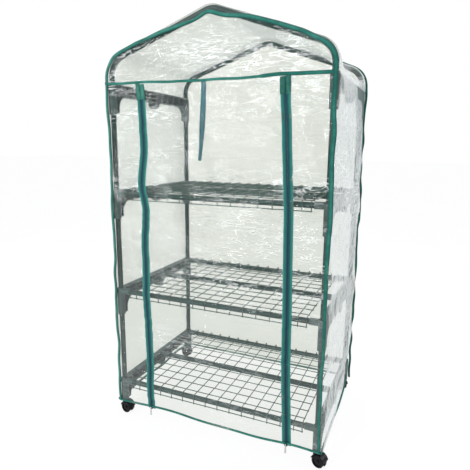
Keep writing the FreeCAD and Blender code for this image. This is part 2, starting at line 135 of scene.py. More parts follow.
def zip_x(side, z):
    """x of a zip's centre at a height, a smooth curve through the chosen places."""
    points = sorted(ZIP_WAVER[side])
    heights = np.array([p[0] for p in points])
    places = np.array([p[1] for p in points])
    z = np.asarray(z, float) - HEM_Z
    step = np.clip(np.searchsorted(heights, z) - 1, 0, len(heights) - 2)
    slope = np.gradient(places, heights)
    h = heights[step + 1] - heights[step]
    t = (np.clip(z, heights[0], heights[-1]) - heights[step]) / h
    a = (2 * t**3 - 3 * t**2 + 1) * places[step] + (t**3 - 2 * t**2 + t) * h * slope[step]
    b = (-2 * t**3 + 3 * t**2) * places[step + 1] + (t**3 - t**2) * h * slope[step + 1]
    return a + b


# ---- the cover's outline
def half_profile():
    """Points (x, z) and outward normals of the cover's right half, from hem to ridge."""
    tan, cos, sin = math.tan(ROOF_SLOPE), math.cos(ROOF_SLOPE), math.sin(ROOF_SLOPE)
    corner_ridge = RIDGE_Z + ROUND_R * (1 / cos - 1)
    arc_x = WALL_X - ROUND_R
    arc_z = corner_ridge - arc_x * tan - ROUND_R / cos
    points, normals = [], []

    def straight(a, b):
        """Points from a up to b, b left out."""
        count = max(2, round(math.dist(a, b) / GRID))
        direction = np.subtract(b, a) / math.dist(a, b)
        for t in np.arange(count) / count:
            points.append(np.add(a, np.subtract(b, a) * t))
            normals.append((direction[1], -direction[0]))

    def rounded(cx, cz, first, last):
        """Points of an arc about a centre, the last one left out."""
        count = max(6, round(abs(last - first) * ROUND_R / GRID))
        for t in np.arange(count) / count:
            angle = first + (last - first) * t
            points.append((cx + ROUND_R * math.cos(angle), cz + ROUND_R * math.sin(angle)))
            normals.append((math.cos(angle), math.sin(angle)))

    shoulder_end = (arc_x + ROUND_R * sin, arc_z + ROUND_R * cos)
    ridge_start = (ROUND_R * sin, RIDGE_Z - ROUND_R + ROUND_R * cos)
    straight((WALL_X, HEM_Z), (WALL_X, arc_z))
    rounded(arc_x, arc_z, 0, math.pi / 2 - ROOF_SLOPE)
    straight(shoulder_end, ridge_start)
    rounded(0, RIDGE_Z - ROUND_R, math.pi / 2 - ROOF_SLOPE, math.pi / 2)
    points.append((0, RIDGE_Z))
    normals.append((0, 1))
    return np.array(points, float), np.array(normals, float)


def full_profile():
    """The whole outline, from the right hem over the ridge to the left hem."""
    points, normals = half_profile()
    mirror = np.array([-1, 1])
    return (
        np.concatenate([points, points[-2::-1] * mirror]),
        np.concatenate([normals, normals[-2::-1] * mirror]),
    )


PROFILE, NORMALS = full_profile()
STEPS = np.linalg.norm(np.diff(PROFILE, axis=0), axis=1)
ALONG = np.concatenate([[0], np.cumsum(STEPS)])


def near_right_shoulder(x, z, reach_down):
    """1 around the right shoulder of the outline, falling to 0 this far down the wall."""
    return smooth((x - 0.24) / 0.07) * smooth((z - SEAM_Z + reach_down) / 0.12)


def edge_inset(x, z, rear):
    """How far the bound edge of the film is drawn in from the outline, at a point of it."""
    inset = np.zeros_like(x)
    # Between two brackets the edge is pulled in, more on the left and in front.
    pull = np.where(x < 0, 4.0, 3.0) if not rear else np.where(x < 0, 3.0, 2.0)
    for low, high in zip(TIERS, TIERS[1:]):
        t = (z - low - BRACKET_ABOVE) / (high - low - BRACKET_ABOVE - BRACKET_BELOW)
        inside = (t > 0) & (t < 1) & (z < SEAM_Z)
        inset += np.where(inside, pull * np.sin(math.pi * np.clip(t, 0, 1)) ** 2, 0)
    on_roof = z > SEAM_Z + 30 * MM
    # The middle of the roof edge hangs lower, and the right shoulder is drawn in.
    if rear:
        low_edge = 6.0 * smooth((0.25 - np.abs(x)) / 0.2)
        inset += 3.0 * near_right_shoulder(x, z, 0.30)
    else:
        low_edge = 17.0 * smooth((x + 0.235) / 0.20) * smooth((0.17 - x) / 0.16)
        inset += 4.5 * near_right_shoulder(x, z, 0.17)
    inset += np.where(on_roof, low_edge, 0)
    inset += 1.2 * field(x + z, z - x, 0.16, 71 + int(rear)) + 0.8
    return np.maximum(inset, 0) * MM


def bound_edge(rear):
    """The film's front or rear edge in the XZ plane, after the inset."""
    inset = edge_inset(PROFILE[:, 0], PROFILE[:, 1], rear)
    return PROFILE - NORMALS * inset[:, None]


FRONT_EDGE = bound_edge(False)
REAR_EDGE = bound_edge(True)


def wall_edge_x(edge, side, z):
    """x of a bound edge at a height on one wall."""
    half = edge[: len(edge) // 2 + 1] if side > 0 else edge[len(edge) // 2 :][::-1]
    upright = half[:, 1] < SEAM_Z + 20 * MM
    return np.interp(z, half[upright, 1], half[upright, 0])


def roof_edge_z(edge, x):
    """z of a bound edge over a place across the roof."""
    top = edge[edge[:, 1] > SEAM_Z + 10 * MM]
    order = np.argsort(top[:, 0])
    return np.interp(x, top[order, 0], top[order, 1])


def front_relief(x, z):
    """Offset of the front film towards the viewer, the same for every piece on that face."""
    relief = film_relief(x, z, 11, 0.9)
    relief += 3.0 * MM * field(x, z, 0.22, 19, 0.0, 0.9) * smooth((z - 0.1) / 0.2)
    near_wall = smooth((WALL_X - np.abs(x) - 2 * MM) / 0.03)
    near_hinge = smooth(np.abs(z - SEAM_Z) / 0.03)
    return np.clip(relief, -1.6 * MM, 7 * MM) * near_wall * near_hinge


# ---- mesh helpers
def mesh_object(name, vertices, faces, material, smooth_faces=True):
    """A mesh in the scene with one material."""
    mesh = bpy.data.meshes.new(name)
    mesh.from_pydata([tuple(v) for v in vertices], [], faces)
    mesh.polygons.foreach_set("use_smooth", [smooth_faces] * len(mesh.polygons))
    mesh.materials.append(material)
    mesh.update()
    piece = bpy.data.objects.new(name, mesh)
    bpy.context.scene.collection.objects.link(piece)
    return piece


def grid_faces(rows, columns, start=0):
    """Quads of a grid of vertices stored row by row."""
    faces = []
    for r in range(rows - 1):
        for c in range(columns - 1):
            a = start + r * columns + c
            faces.append((a, a + 1, a + columns + 1, a + columns))
    return faces


def point_attribute(piece, name, values):
    """A number on every vertex, for the materials to read."""
    attribute = piece.data.attributes.new(name, "FLOAT", "POINT")
    attribute.data.foreach_set("value", np.asarray(values, np.float32))


def resample(points, spacing):
    """Evenly spaced points along a path, and how far along each one is."""
    points = np.asarray(points, float)
    along = np.concatenate([[0], np.cumsum(np.linalg.norm(np.diff(points, axis=0), axis=1))])
    count = max(2, round(along[-1] / spacing) + 1)
    at = np.linspace(0, along[-1], count)
    return np.stack([np.interp(at, along, points[:, k]) for k in range(3)], axis=1), at


def unit(v):
    """Rows of v scaled to length 1."""
    return v / np.maximum(np.linalg.norm(v, axis=1, keepdims=True), 1e-12)


def spread_out(values, count):
    """Values given at even steps along a path, read at another number of even steps."""
    return np.interp(np.linspace(0, 1, count), np.linspace(0, 1, len(values)), values)


def tube_faces(rings, ring):
    """Quads between neighbouring rings of vertices, and a face on each end."""
    faces = []
    for r in range(rings - 1):
        for c in range(ring):
            d = (c + 1) % ring
            faces.append((r * ring + c, r * ring + d, (r + 1) * ring + d, (r + 1) * ring + c))
    faces.append(tuple(range(ring))[::-1])
    faces.append(tuple((rings - 1) * ring + c for c in range(ring)))
    return faces


def ribbon(name, points, faces_out, width, thickness, material, spacing=4 * MM, dome=0.35):
    """A sewn tape along a path: rounded edges and a slightly domed face that looks along faces_out."""
    path, at = resample(points, spacing)
    facing = unit(np.stack([spread_out(faces_out[:, k], len(path)) for k in range(3)], axis=1))
    tangent = unit(np.gradient(path, axis=0))
    across = unit(np.cross(facing, tangent))
    facing = unit(np.cross(tangent, across))
    widths = spread_out(width if np.ndim(width) else np.full(2, width), len(path))
    half = thickness / 2
    # Section: (place across as a share of the half width, height as a share of the half thickness)
    section = [(-0.86, -1), (0, -1), (0.86, -1), (1, -0.35), (1, 0.35), (0.86, 1), (0.45, 1 + dome),
               (0, 1 + 1.3 * dome), (-0.45, 1 + dome), (-0.86, 1), (-1, 0.35), (-1, -0.35)]
    ring = len(section)
    vertices = np.concatenate(
        [
            path + across * (widths[:, None] / 2 * a) + facing * (half * h)
            for a, h in section
        ]
    ).reshape(ring, len(path), 3).transpose(1, 0, 2).reshape(-1, 3)
    piece = mesh_object(name, vertices, tube_faces(len(path), ring), material)
    places = np.tile([a for a, _ in section], len(path))
    point_attribute(piece, "along", np.repeat(at, ring))
    point_attribute(piece, "across", places * np.repeat(widths / 2, ring))
    return piece


# ---- materials
def new_material(name):
    """An empty node material, its tree and its output node."""
    material = bpy.data.materials.new(name)
    material.use_nodes = True
    tree = material.node_tree
    tree.nodes.clear()
    output = tree.nodes.new("ShaderNodeOutputMaterial")
    return material, tree, output


def node(tree, kind, **settings):
    """A new node with some of its settings."""
    made = tree.nodes.new(kind)
    for key, value in settings.items():
        setattr(made, key, value)
    return made


def noise(tree, scale, detail=3.0, rough=0.55, vector=None, distortion=0.0):
    """Noise in object space, or over the vector given."""
    made = node(tree, "ShaderNodeTexNoise")
    made.inputs["Scale"].default_value = scale
    made.inputs["Detail"].default_value = detail
    made.inputs["Roughness"].default_value = rough
    made.inputs["Distortion"].default_value = distortion
    if vector is None:
        vector = node(tree, "ShaderNodeTexCoord").outputs["Object"]
    tree.links.new(vector, made.inputs["Vector"])
    return made.outputs["Fac"]


def ramp(tree, value, stops):
    """A colour ramp over a value; stops are (place, colour) pairs in order."""
    made = node(tree, "ShaderNodeValToRGB")
    elements = made.color_ramp.elements
    elements[0].position, elements[0].color = stops[0][0], (*stops[0][1], 1)
    elements[1].position, elements[1].color = stops[-1][0], (*stops[-1][1], 1)
    for place, colour in stops[1:-1]:
        element = elements.new(place)
        element.color = (*colour, 1)
    tree.links.new(value, made.inputs["Fac"])
    return made.outputs["Color"]


def arithmetic(tree, operation, a, b):
    """A math node whose two inputs are sockets or numbers."""
    made = node(tree, "ShaderNodeMath", operation=operation)
    for socket, value in zip(made.inputs, (a, b)):
        if isinstance(value, (int, float)):
            socket.default_value = value
        else:
            tree.links.new(value, socket)
    return made.outputs[0]


def scaled(tree, vector, scale):
    """A vector scaled along X, Y and Z."""
    made = node(tree, "ShaderNodeMapping")
    made.inputs["Scale"].default_value = scale
    tree.links.new(vector, made.inputs["Vector"])
    return made.outputs["Vector"]


def bump(tree, height, strength, distance, normal=None):
    """A bump over an earlier normal, if one is given."""
    made = node(tree, "ShaderNodeBump")
    made.inputs["Strength"].default_value = strength
    made.inputs["Distance"].default_value = distance
    tree.links.new(height, made.inputs["Height"])
    if normal is not None:
        tree.links.new(normal, made.inputs["Normal"])
    return made.outputs["Normal"]


def principled(tree, output, roughness, metallic=0.0):
    """A Principled shader joined to the output."""
    shader = node(tree, "ShaderNodeBsdfPrincipled")
    shader.inputs["Roughness"].default_value = roughness
    shader.inputs["Metallic"].default_value = metallic
    tree.links.new(shader.outputs[0], output.inputs["Surface"])
    return shader


def rough_range(tree, value, low, high):
    """A value from 0 to 1 mapped to another range."""
    made = node(tree, "ShaderNodeMapRange")
    made.inputs["To Min"].default_value = low
    made.inputs["To Max"].default_value = high
    tree.links.new(value, made.inputs["Value"])
    return made.outputs["Result"]


def film_creases(tree, where, rough_bump):
    """Broad noise of the film, and its bumped normal: swells, fine wrinkles and crackled folds."""
    broad = noise(tree, 14, 3, 0.55, where, 0.5)
    fine = noise(tree, 48, 4, 0.62, where, 0.7)
    crackle = node(tree, "ShaderNodeTexVoronoi", feature="DISTANCE_TO_EDGE")
    crackle.inputs["Scale"].default_value = 26
    tree.links.new(where, crackle.inputs["Vector"])
    normal = bump(tree, broad, 0.5, 0.010 * rough_bump)
    normal = bump(tree, fine, 0.7, 0.0042 * rough_bump, normal)
    normal = bump(tree, crackle.outputs["Distance"], 0.4, 0.004 * rough_bump, normal)
    return broad, normal


def film_painted_glints(tree, where, rumpled, strength):
    """Painted glints: thin broken white lines, in patches, that stand in for glare off the creased film."""
    lines = noise(tree, 38, 4, 0.62, scaled(tree, where, (0.8, 0.8, 1.5)), 0.35)
    ridge = arithmetic(tree, "ABSOLUTE", arithmetic(tree, "SUBTRACT", lines, 0.5), 0.0)
    ridge = arithmetic(tree, "SUBTRACT", 1.0, arithmetic(tree, "MULTIPLY", ridge, 26.0))
    ridge = arithmetic(tree, "MAXIMUM", ridge, 0.0)
    patches = noise(tree, 5.5, 3, 0.6, where, 0.3)
    patches = ramp(tree, patches, [(0.48, (0, 0, 0)), (0.66, (1, 1, 1))])
    white = arithmetic(tree, "MULTIPLY", arithmetic(tree, "MULTIPLY", ridge, patches), strength)
    return arithmetic(tree, "MULTIPLY", white, rumpled)


def film_milk_share(tree, haze_and_glints, facing, rumpled):
    """How milky the film is: more where it is seen edge-on, and low down, where it carries dust."""
    edge_on = ramp(
        tree,
        facing,
        [(0.68, (0, 0, 0)), (0.86, (0.46, 0.46, 0.46)), (1.0, (0.6, 0.6, 0.6))],
    )
    dust = arithmetic(tree, "MULTIPLY", arithmetic(tree, "SUBTRACT", 1.0, rumpled), 0.07)
    share = arithmetic(tree, "ADD", arithmetic(tree, "ADD", haze_and_glints, edge_on), dust)
    return arithmetic(tree, "MINIMUM", share, 0.9)


def film_body(tree, milk_share, facing, normal):
    """The film without its gloss: clear and slightly tinted, mixed with white milk."""
    tint = ramp(
        tree,
        facing,
        [(0.0, (0.845, 0.862, 0.825)), (0.6, (0.84, 0.858, 0.825)), (0.86, (0.76, 0.79, 0.785)),
         (1.0, (0.60, 0.64, 0.66))],
    )
    clear = node(tree, "ShaderNodeBsdfTransparent")
    tree.links.new(tint, clear.inputs["Color"])
    milk = node(tree, "ShaderNodeBsdfDiffuse")
    milk.inputs["Color"].default_value = (0.93, 0.95, 0.94, 1)
    tree.links.new(normal, milk.inputs["Normal"])
    body = node(tree, "ShaderNodeMixShader")
    tree.links.new(milk_share, body.inputs["Fac"])
    tree.links.new(clear.outputs[0], body.inputs[1])
    tree.links.new(milk.outputs[0], body.inputs[2])
    return body


def film_gloss(tree, body, normal, rumpled, share, roughness):
    """The film's shine over its body, stronger at grazing angles and where the film is rumpled."""
    gloss = node(tree, "ShaderNodeBsdfGlossy")
    gloss.inputs["Roughness"].default_value = roughness
    gloss.inputs["Color"].default_value = (0.97, 0.99, 1.0, 1)
    tree.links.new(normal, gloss.inputs["Normal"])
    fresnel = node(tree, "ShaderNodeFresnel")
    fresnel.inputs["IOR"].default_value = 1.5
    tree.links.new(normal, fresnel.inputs["Normal"])
    mirrored = arithmetic(tree, "MULTIPLY", fresnel.outputs[0], share)
    shine = node(tree, "ShaderNodeMixShader")
    tree.links.new(arithmetic(tree, "MULTIPLY", mirrored, rumpled), shine.inputs["Fac"])
    tree.links.new(body.outputs[0], shine.inputs[1])
    tree.links.new(gloss.outputs[0], shine.inputs[2])
    return shine


def film_material(name, stretch, rough_bump, haze_top, gloss_share, gloss_rough, painted_glint_strength=0.0):
    """Clear PVC film: mostly see-through, duller where seen edge-on, milky, glossy and finely creased.

    stretch squeezes the crease pattern along X, Y and Z, so small values draw it out that way.
    """
    material, tree, output = new_material(name)
    place = node(tree, "ShaderNodeTexCoord").outputs["Object"]
    where = scaled(tree, place, stretch)
    # Low down the cover hangs calmer, with fewer hard creases; there the gloss and the painted glints are
    # weaker.
    height = node(tree, "ShaderNodeSeparateXYZ")
    tree.links.new(place, height.inputs[0])
    rumpled = ramp(tree, height.outputs["Z"], [(0.25, (0.3, 0.3, 0.3)), (0.72, (1, 1, 1))])
    broad, normal = film_creases(tree, where, rough_bump)
    facing = node(tree, "ShaderNodeLayerWeight")
    facing.inputs["Blend"].default_value = 0.5
    tree.links.new(normal, facing.inputs["Normal"])
    haze_and_glints = rough_range(tree, broad, 0.0, haze_top)
    # Painted glints: white streaks added to the milk share.
    if painted_glint_strength:
        haze_and_glints = arithmetic(tree, "ADD", haze_and_glints, film_painted_glints(tree, where, rumpled, painted_glint_strength))
    milk_share = film_milk_share(tree, haze_and_glints, facing.outputs["Facing"], rumpled)
    body = film_body(tree, milk_share, facing.outputs["Facing"], normal)
    shine = film_gloss(tree, body, normal, rumpled, gloss_share, gloss_rough)
    tree.links.new(shine.outputs[0], output.inputs["Surface"])
    return material


def tape_material(name, dark, mid, light, edge_at, thread=700):
    """Woven tape: ribs across, fine ribs along, painted shade darkening both edges and a worn, uneven dye.
    """
    material, tree, output = new_material(name)
    shader = principled(tree, output, 0.62)
    shader.inputs["Sheen Weight"].default_value = 0.12
    shader.inputs["Sheen Roughness"].default_value = 0.4
    shader.inputs["Specular IOR Level"].default_value = 0.25
    along = node(tree, "ShaderNodeAttribute", attribute_name="along").outputs["Fac"]
    across = node(tree, "ShaderNodeAttribute", attribute_name="across").outputs["Fac"]
    weft = arithmetic(tree, "SINE", arithmetic(tree, "MULTIPLY", along, 2 * math.pi * thread), 0.0)
    warp = arithmetic(tree, "SINE", arithmetic(tree, "MULTIPLY", across, 2 * math.pi * thread * 1.3), 0.0)
    weave = arithmetic(tree, "MULTIPLY", weft, warp)
    mottle = noise(tree, 42, 4, 0.65)
    patches = noise(tree, 9, 2, 0.5)
    shade = arithmetic(tree, "ADD", arithmetic(tree, "MULTIPLY", mottle, 0.7),
                       arithmetic(tree, "MULTIPLY", patches, 0.5))
    shade = arithmetic(tree, "ADD", shade, arithmetic(tree, "MULTIPLY", weave, 0.04))
    # Painted shade: the folded edges are drawn darker than the domed middle.
    painted_edge_shade = arithmetic(tree, "MULTIPLY", arithmetic(tree, "ABSOLUTE", across, 0.0), 1 / edge_at)
    painted_edge_shade = arithmetic(tree, "MULTIPLY", arithmetic(tree, "POWER", painted_edge_shade, 2.5), 0.34)
    shade = arithmetic(tree, "SUBTRACT", shade, painted_edge_shade)
    colour = ramp(tree, shade, [(0.12, dark), (0.50, mid), (0.85, light)])
    tree.links.new(colour, shader.inputs["Base Color"])
    tree.links.new(rough_range(tree, mottle, 0.42, 0.74), shader.inputs["Roughness"])
    normal = bump(tree, weave, 0.5, 0.0004)
    normal = bump(tree, noise(tree, 90, 3), 0.5, 0.0012, normal)
    tree.links.new(normal, shader.inputs["Normal"])
    return material


def zip_tape_material():
    """Zip tape: dark beside the chain from painted shade, lighter bound edge, with woven ribs."""
    material, tree, output = new_material("zip_tape")
    shader = principled(tree, output, 0.6)
    shader.inputs["Sheen Weight"].default_value = 0.1
    shader.inputs["Specular IOR Level"].default_value = 0.25
    along = node(tree, "ShaderNodeAttribute", attribute_name="along").outputs["Fac"]
    chain = node(tree, "ShaderNodeAttribute", attribute_name="from_chain").outputs["Fac"]
    mottle = noise(tree, 38, 4, 0.65)
    drift = arithmetic(tree, "MULTIPLY", arithmetic(tree, "SUBTRACT", mottle, 0.5), 0.30)
    place = arithmetic(tree, "ADD", chain, drift)
    # Painted shade: the tape is darkest beside the chain, where it lies in shadow, and lighter towards its
    # outer edge.
    colour = ramp(
        tree,
        place,
        [(0.0, (0.001, 0.040, 0.056)), (0.34, (0.002, 0.064, 0.078)), (0.52, (0.005, 0.115, 0.105)),
         (0.80, (0.012, 0.175, 0.145)), (1.0, (0.045, 0.26, 0.21))],
    )
    tree.links.new(colour, shader.inputs["Base Color"])
    ribs = arithmetic(tree, "SINE", arithmetic(tree, "MULTIPLY", along, 2 * math.pi * 620), 0.0)
    normal = bump(tree, ribs, 0.4, 0.0004)
    normal = bump(tree, noise(tree, 70, 3), 0.6, 0.0015, normal)
    tree.links.new(normal, shader.inputs["Normal"])
    tree.links.new(rough_range(tree, mottle, 0.40, 0.7), shader.inputs["Roughness"])
    return material


def moulded_material(name, dark, light, roughness, grain=900, specular=0.32):
    """Moulded plastic: fine spark grain, faint flow marks and a slight tone shift over the part."""
    material, tree, output = new_material(name)
    shader = principled(tree, output, roughness)
    shader.inputs["Specular IOR Level"].default_value = specular
    flow = noise(tree, 14, 4, 0.6, None, 0.7)
    colour = ramp(tree, flow, [(0.3, dark), (0.7, light)])
    tree.links.new(colour, shader.inputs["Base Color"])
    speck = noise(tree, grain, 2, 0.7)
    tree.links.new(rough_range(tree, speck, roughness - 0.08, roughness + 0.12), shader.inputs["Roughness"])
    normal = bump(tree, speck, 0.25, 0.0003)
    normal = bump(tree, flow, 0.15, 0.002, normal)
    tree.links.new(normal, shader.inputs["Normal"])
    return material


def coated_material(name, dark, light, roughness, peel=260):
    """Powder-coated steel: orange peel, satin gloss and small rubbed spots."""
    material, tree, output = new_material(name)
    shader = principled(tree, output, roughness)
    shader.inputs["Coat Weight"].default_value = 0.04
    shader.inputs["Coat Roughness"].default_value = 0.2
    shader.inputs["Specular IOR Level"].default_value = 0.18
    tone = noise(tree, 22, 5, 0.6)
    colour = ramp(tree, tone, [(0.3, dark), (0.72, light)])
    tree.links.new(colour, shader.inputs["Base Color"])
    skin = noise(tree, peel, 3, 0.6)
    tree.links.new(rough_range(tree, skin, roughness - 0.1, roughness + 0.1), shader.inputs["Roughness"])
    tree.links.new(bump(tree, skin, 0.3, 0.0004), shader.inputs["Normal"])
    return material


def steel_material(name, dark, light):
    """Plated steel with fine brushed lines and dulled patches."""
    material, tree, output = new_material(name)
    shader = principled(tree, output, 0.3, 1.0)
    where = node(tree, "ShaderNodeTexCoord").outputs["Object"]
    lines = noise(tree, 900, 2, 0.5, scaled(tree, where, (1, 1, 0.05)))
    dull = noise(tree, 120, 4, 0.6)
    tree.links.new(ramp(tree, dull, [(0.3, dark), (0.7, light)]), shader.inputs["Base Color"])
    tree.links.new(rough_range(tree, dull, 0.22, 0.46), shader.inputs["Roughness"])
    tree.links.new(bump(tree, lines, 0.2, 0.0002), shader.inputs["Normal"])
    return material


# The last number, where given, is the strength of the painted glints.
FILM_SIDE = film_material("film_side", (1.0, 0.5, 1.3), 0.9, 0.16, 0.8, 0.10, 0.8)
FILM_CALM = film_material("film_calm", (1.0, 0.7, 0.8), 0.25, 0.10, 0.3, 0.4)
FILM_FRONT = film_material("film_front", (0.45, 1.0, 1.25), 1.0, 0.035, 0.5, 0.08, 0.75)
FILM_BACK = film_material("film_back", (0.35, 1.0, 1.3), 0.38, 0.10, 0.3, 0.10, 0.3)
BINDING = tape_material(
    "binding_tape", (0.002, 0.055, 0.045), (0.006, 0.128, 0.100), (0.050, 0.28, 0.22), 5.5 * MM
)
STRAP = tape_material(
    "strap_webbing", (0.006, 0.080, 0.110), (0.026, 0.190, 0.240), (0.10, 0.32, 0.38), 7.5 * MM
)
PATCH = tape_material(
    "patch_cloth", (0.004, 0.050, 0.042), (0.012, 0.110, 0.086), (0.07, 0.28, 0.22), 9 * MM, 500
)
ZIP_TAPE = zip_tape_material()
TEETH = moulded_material("zip_teeth", (0.001, 0.030, 0.044), (0.002, 0.050, 0.068), 0.65)
BRACKET = moulded_material("bracket_plastic", (0.032, 0.074, 0.072), (0.060, 0.112, 0.108), 0.46)
TUBE = coated_material("tube_coating", (0.003, 0.030, 0.026), (0.008, 0.060, 0.052), 0.36)
WIRE = coated_material("wire_coating", (0.022, 0.072, 0.060), (0.056, 0.130, 0.114), 0.32, 500)
CASTER = moulded_material("caster_plastic", (0.003, 0.003, 0.005), (0.008, 0.008, 0.012), 0.34, 700, 0.16)
WHEEL = moulded_material("wheel_plastic", (0.001, 0.001, 0.002), (0.004, 0.004, 0.007), 0.36, 500, 0.16)
STEEL = steel_material("plated_steel", (0.42, 0.42, 0.43), (0.68, 0.68, 0.70))
SLIDER = coated_material("slider_enamel", (0.008, 0.050, 0.050), (0.020, 0.095, 0.090), 0.32, 900)


# ---- CAD nodes that stay
def finish_cad_nodes():
    """Materials on the CAD pieces that stay in sight: frame, casters, sliders and pulls."""
    looks = {
        "side_bracket": BRACKET,
        "post_": TUBE,
        "shelf_tube": TUBE,
        "roof_arch": TUBE,
        "wire_shelf": WIRE,
        "caster_housing": CASTER,
        "caster_wheels": WHEEL,
        "caster_stems": STEEL,
        "zip_slider": SLIDER,
        "zip_pull": STEEL,
    }
    for name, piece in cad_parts.items():
        for start, material in looks.items():
            if name.startswith(start):
                for k in range(len(piece.data.materials)):
                    piece.data.materials[k] = material


# ---- film
def wrap_clearance(x, z):
    """How far a wall may lie inside the outline: less where a bracket stands behind the film."""
    clear = np.full(z.shape, 4.0 * MM)
    for tier in TIERS:
        beside = (z > tier - BRACKET_BELOW) & (z < tier + BRACKET_ABOVE + 4 * MM)
        clear = np.where(beside, 0.5 * MM, clear)
    return np.where((z > SEAM_Z - 0.09) & (x > 0), 3.6 * MM, clear)


def roof_sag(x, z, v):
    """How far the roof hangs in between the arches, most of all over the right shoulder."""
    belly = smooth((v - 0.055) / 0.22) * smooth((0.945 - v) / 0.22)
    over_shoulder = smooth((np.abs(x) - 0.2) / 0.1) * (x > 0)
    return (7 + 19 * over_shoulder) * MM * smooth((z - SEAM_Z - 0.012) / 0.03) * belly


def wrap_relief(x, z, s, y, v):
    """Offset of the walls and the roof outwards from the outline, before the edges are drawn in."""
    side_share = np.where(x > 0, 1.0, 0.16)  # the left wall lies almost smooth
    relief = side_share * film_relief(s, y, 31, 0.25)
    relief = relief + 1.2 * MM * side_share * creases(s, y, 0.10, 41, 0.15, 0.6)
    relief += 2.0 * MM * side_share * field(s, y, 0.30, 43, 0.1, 0.7)
    relief = np.where(z < SEAM_Z, relief, relief * 0.25)
    # High on the right the cover is drawn tight over the rear post and arch.
    tight = smooth((z - SEAM_Z + 0.18) / 0.12) * smooth((x - 0.12) / 0.1) * smooth((v + 0.3) / 0.8)
    relief = relief * (1 - 0.7 * tight) - 3.6 * MM * tight
    inner = np.where(z < SEAM_Z + 0.012, -wrap_clearance(x, z), -1.2 * MM)
    relief = np.clip(relief, inner, 6 * MM) - roof_sag(x, z, v)
    return relief * smooth(np.minimum(v, 1 - v) / 0.03) ** (1 - 0.999 * np.minimum(tight, 1))


def wrap_edge_inset(y):
    """How far the sheet is drawn in beside its bound front and rear edges."""
    reach = 7.5 * MM
    near_front = smooth((FRONT_Y + reach - y) / reach)
    near_rear = smooth((y - REAR_Y + reach) / reach)
    inset = edge_inset(PROFILE[:, 0], PROFILE[:, 1], False)[:, None] * near_front
    return inset + edge_inset(PROFILE[:, 0], PROFILE[:, 1], True)[:, None] * near_rear


def low_corner_tuck(z, depth_share):
    """The lower rear corners are drawn in, where the cover hangs free of the frame."""
    return LOW_CORNER_TUCK * smooth((0.30 - z) / 0.24) * smooth((depth_share - 0.75) / 0.25)


def wall_hem_waver(y):
    """How unevenly the hem of both walls hangs, along the depth."""
    return 3.0 * MM * field(y, y * 0, 0.21, 47)


def wrap_film():
    """Both walls and the roof: one sheet that goes up one side, over the arches and down the other."""
    depth = REAR_Y - FRONT_Y
    v = np.linspace(0, 1, round(depth / GRID) + 1)
    # Extra lines of vertices close to both edges let the film turn down beside the tubes.
    v = np.unique(np.concatenate([v, [0.004, 0.010, 0.018, 0.982, 0.990, 0.996]]))[None, :]
    s = np.broadcast_to(ALONG[:, None], (len(ALONG), v.shape[1]))
    y = np.broadcast_to(FRONT_Y + depth * v, s.shape)
    x = PROFILE[:, 0][:, None]
    z = PROFILE[:, 1][:, None]
    shift = wrap_relief(x, z, s, y, v) - wrap_edge_inset(y) - low_corner_tuck(z, v)
    hem = wall_hem_waver(y) * smooth((HEM_Z + 0.05 - z) / 0.05)
    px = x + NORMALS[:, 0][:, None] * shift
    pz = z + NORMALS[:, 1][:, None] * shift + hem
    vertices = np.stack([px, y, pz], axis=2).reshape(-1, 3)
    piece = mesh_object("film_walls_and_roof", vertices, grid_faces(*s.shape), FILM_SIDE)
    # The right wall is badly creased; the roof and the left wall lie smooth.
    piece.data.materials.append(FILM_CALM)
    creased_rows = int(np.argmax(PROFILE[:, 1] > SEAM_Z + 40 * MM))
    for face in piece.data.polygons:
        if face.index // (s.shape[1] - 1) > creased_rows:
            face.material_index = 1
    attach(piece, "frame")
    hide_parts("cover_wall_left", "cover_wall_right", "cover_roof")
    return piece


def hem_z(x):
    """Height of the front hem, which hangs a little unevenly."""
    return HEM_Z + (1.0 + 2.6 * field(x, x * 0, 0.27, 61)) * MM


def level(height):
    """A top edge at one height, for front_grid."""
    return lambda x: np.full(np.shape(x), height)


def front_edge_x(side):
    """x of the front film's outer edge at a height, for front_grid."""
    return lambda z: wall_edge_x(FRONT_EDGE, side, z)


def beside_zip(side, offset):
    """x at a height, this far to the right of a zip's centre, for front_grid."""
    return lambda z: zip_x(side, z) + offset


def front_grid(left, right, top):
    """A grid on the front face above the hem; left and right give x at a height, top gives z."""
    middle = np.array([0.5])
    width = float(np.mean(right(middle) - left(middle)))
    columns = max(6, round(width / GRID))
    rows = max(6, round((top(np.array([0.0]))[0] - HEM_Z) / GRID))
    u = np.linspace(0, 1, columns + 1)[None, :]
    t = np.linspace(0, 1, rows + 1)[:, None]
    x = np.zeros((rows + 1, columns + 1)) + left(middle) + u * width
    # The sides depend on the height and the hem on x, so a few rounds settle both.
    for _ in range(3):
        z = hem_z(x) * (1 - t) + top(x) * t
        x = left(z) * (1 - u) + right(z) * u
    return x, z


def gable_grid():
    """A grid on the gable, from the seam up to the bound edge of the roof."""
    columns = round(2 * WALL_X / GRID)
    u = np.linspace(-1, 1, columns + 1)[None, :]
    t = np.linspace(0, 1, 31)[:, None]
    half = float(wall_edge_x(FRONT_EDGE, 1, SEAM_Z))
    x = u * half * np.ones_like(t)
    z = SEAM_Z + (roof_edge_z(FRONT_EDGE, x) - SEAM_Z) * t
    return x, z


